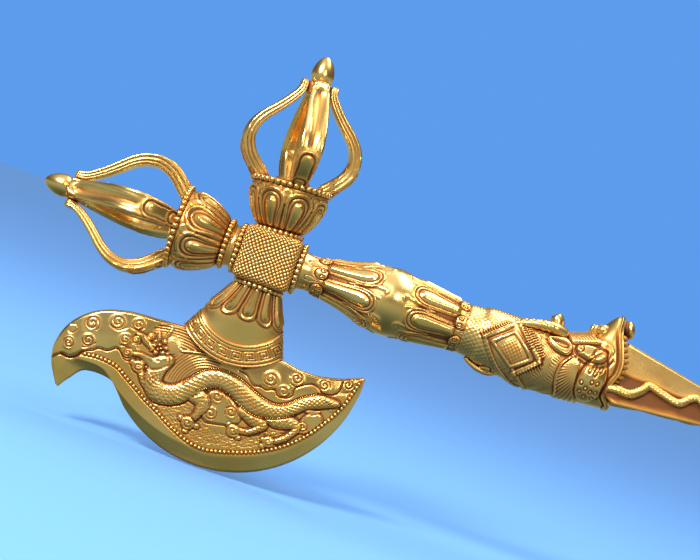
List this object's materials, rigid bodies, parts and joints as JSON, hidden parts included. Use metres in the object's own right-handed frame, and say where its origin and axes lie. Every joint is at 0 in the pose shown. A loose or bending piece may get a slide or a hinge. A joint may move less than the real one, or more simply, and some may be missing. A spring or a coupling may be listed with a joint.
{
  "type": "ceremonial axe with vajra heads",
  "caption": "Gilt ceremonial hand axe: a beaded hub joins an engraved crescent blade, pronged vajra heads, a petalled grip and a long dagger point.",
  "frame": {"origin": "centre of the hub block, where the handle's axis crosses the axe's", "axes": "+X along the handle to the dagger's point, +Z to the upper vajra head, -Y out of the front face"},
  "size_m": [0.403, 0.0614, 0.2146],
  "materials": {
    "gilt": "satin gilding, brown in the recesses",
    "copper_gilt": "worn gilding over copper, reddish",
    "rod_steel": "plain, hidden inside the handle"
  },
  "bodies": {
    "root": {"hub_block": "copper_gilt", "side_inner_beads": "gilt", "side_collar": "gilt", "side_outer_beads": "gilt", "side_bell": "gilt", "side_rim_beads": "gilt", "side_prong_front": "gilt", "side_prong_upper": "gilt", "side_prong_rear": "gilt", "side_prong_lower": "gilt", "side_core": "copper_gilt", "side_bud": "gilt", "top_beads": "gilt", "top_bell": "gilt", "top_rim_beads": "gilt", "top_prong_front": "gilt", "top_prong_right": "gilt", "top_prong_rear": "gilt", "top_prong_left": "gilt", "top_core": "copper_gilt", "top_bud": "gilt", "axe_beads": "gilt", "axe_socket": "gilt", "axe_blade": "gilt", "grip_beads": "gilt", "grip": "gilt", "tie_rod": "rod_steel", "beast_head": "gilt", "dagger_blade": "gilt"}
  },
  "joints": []
}
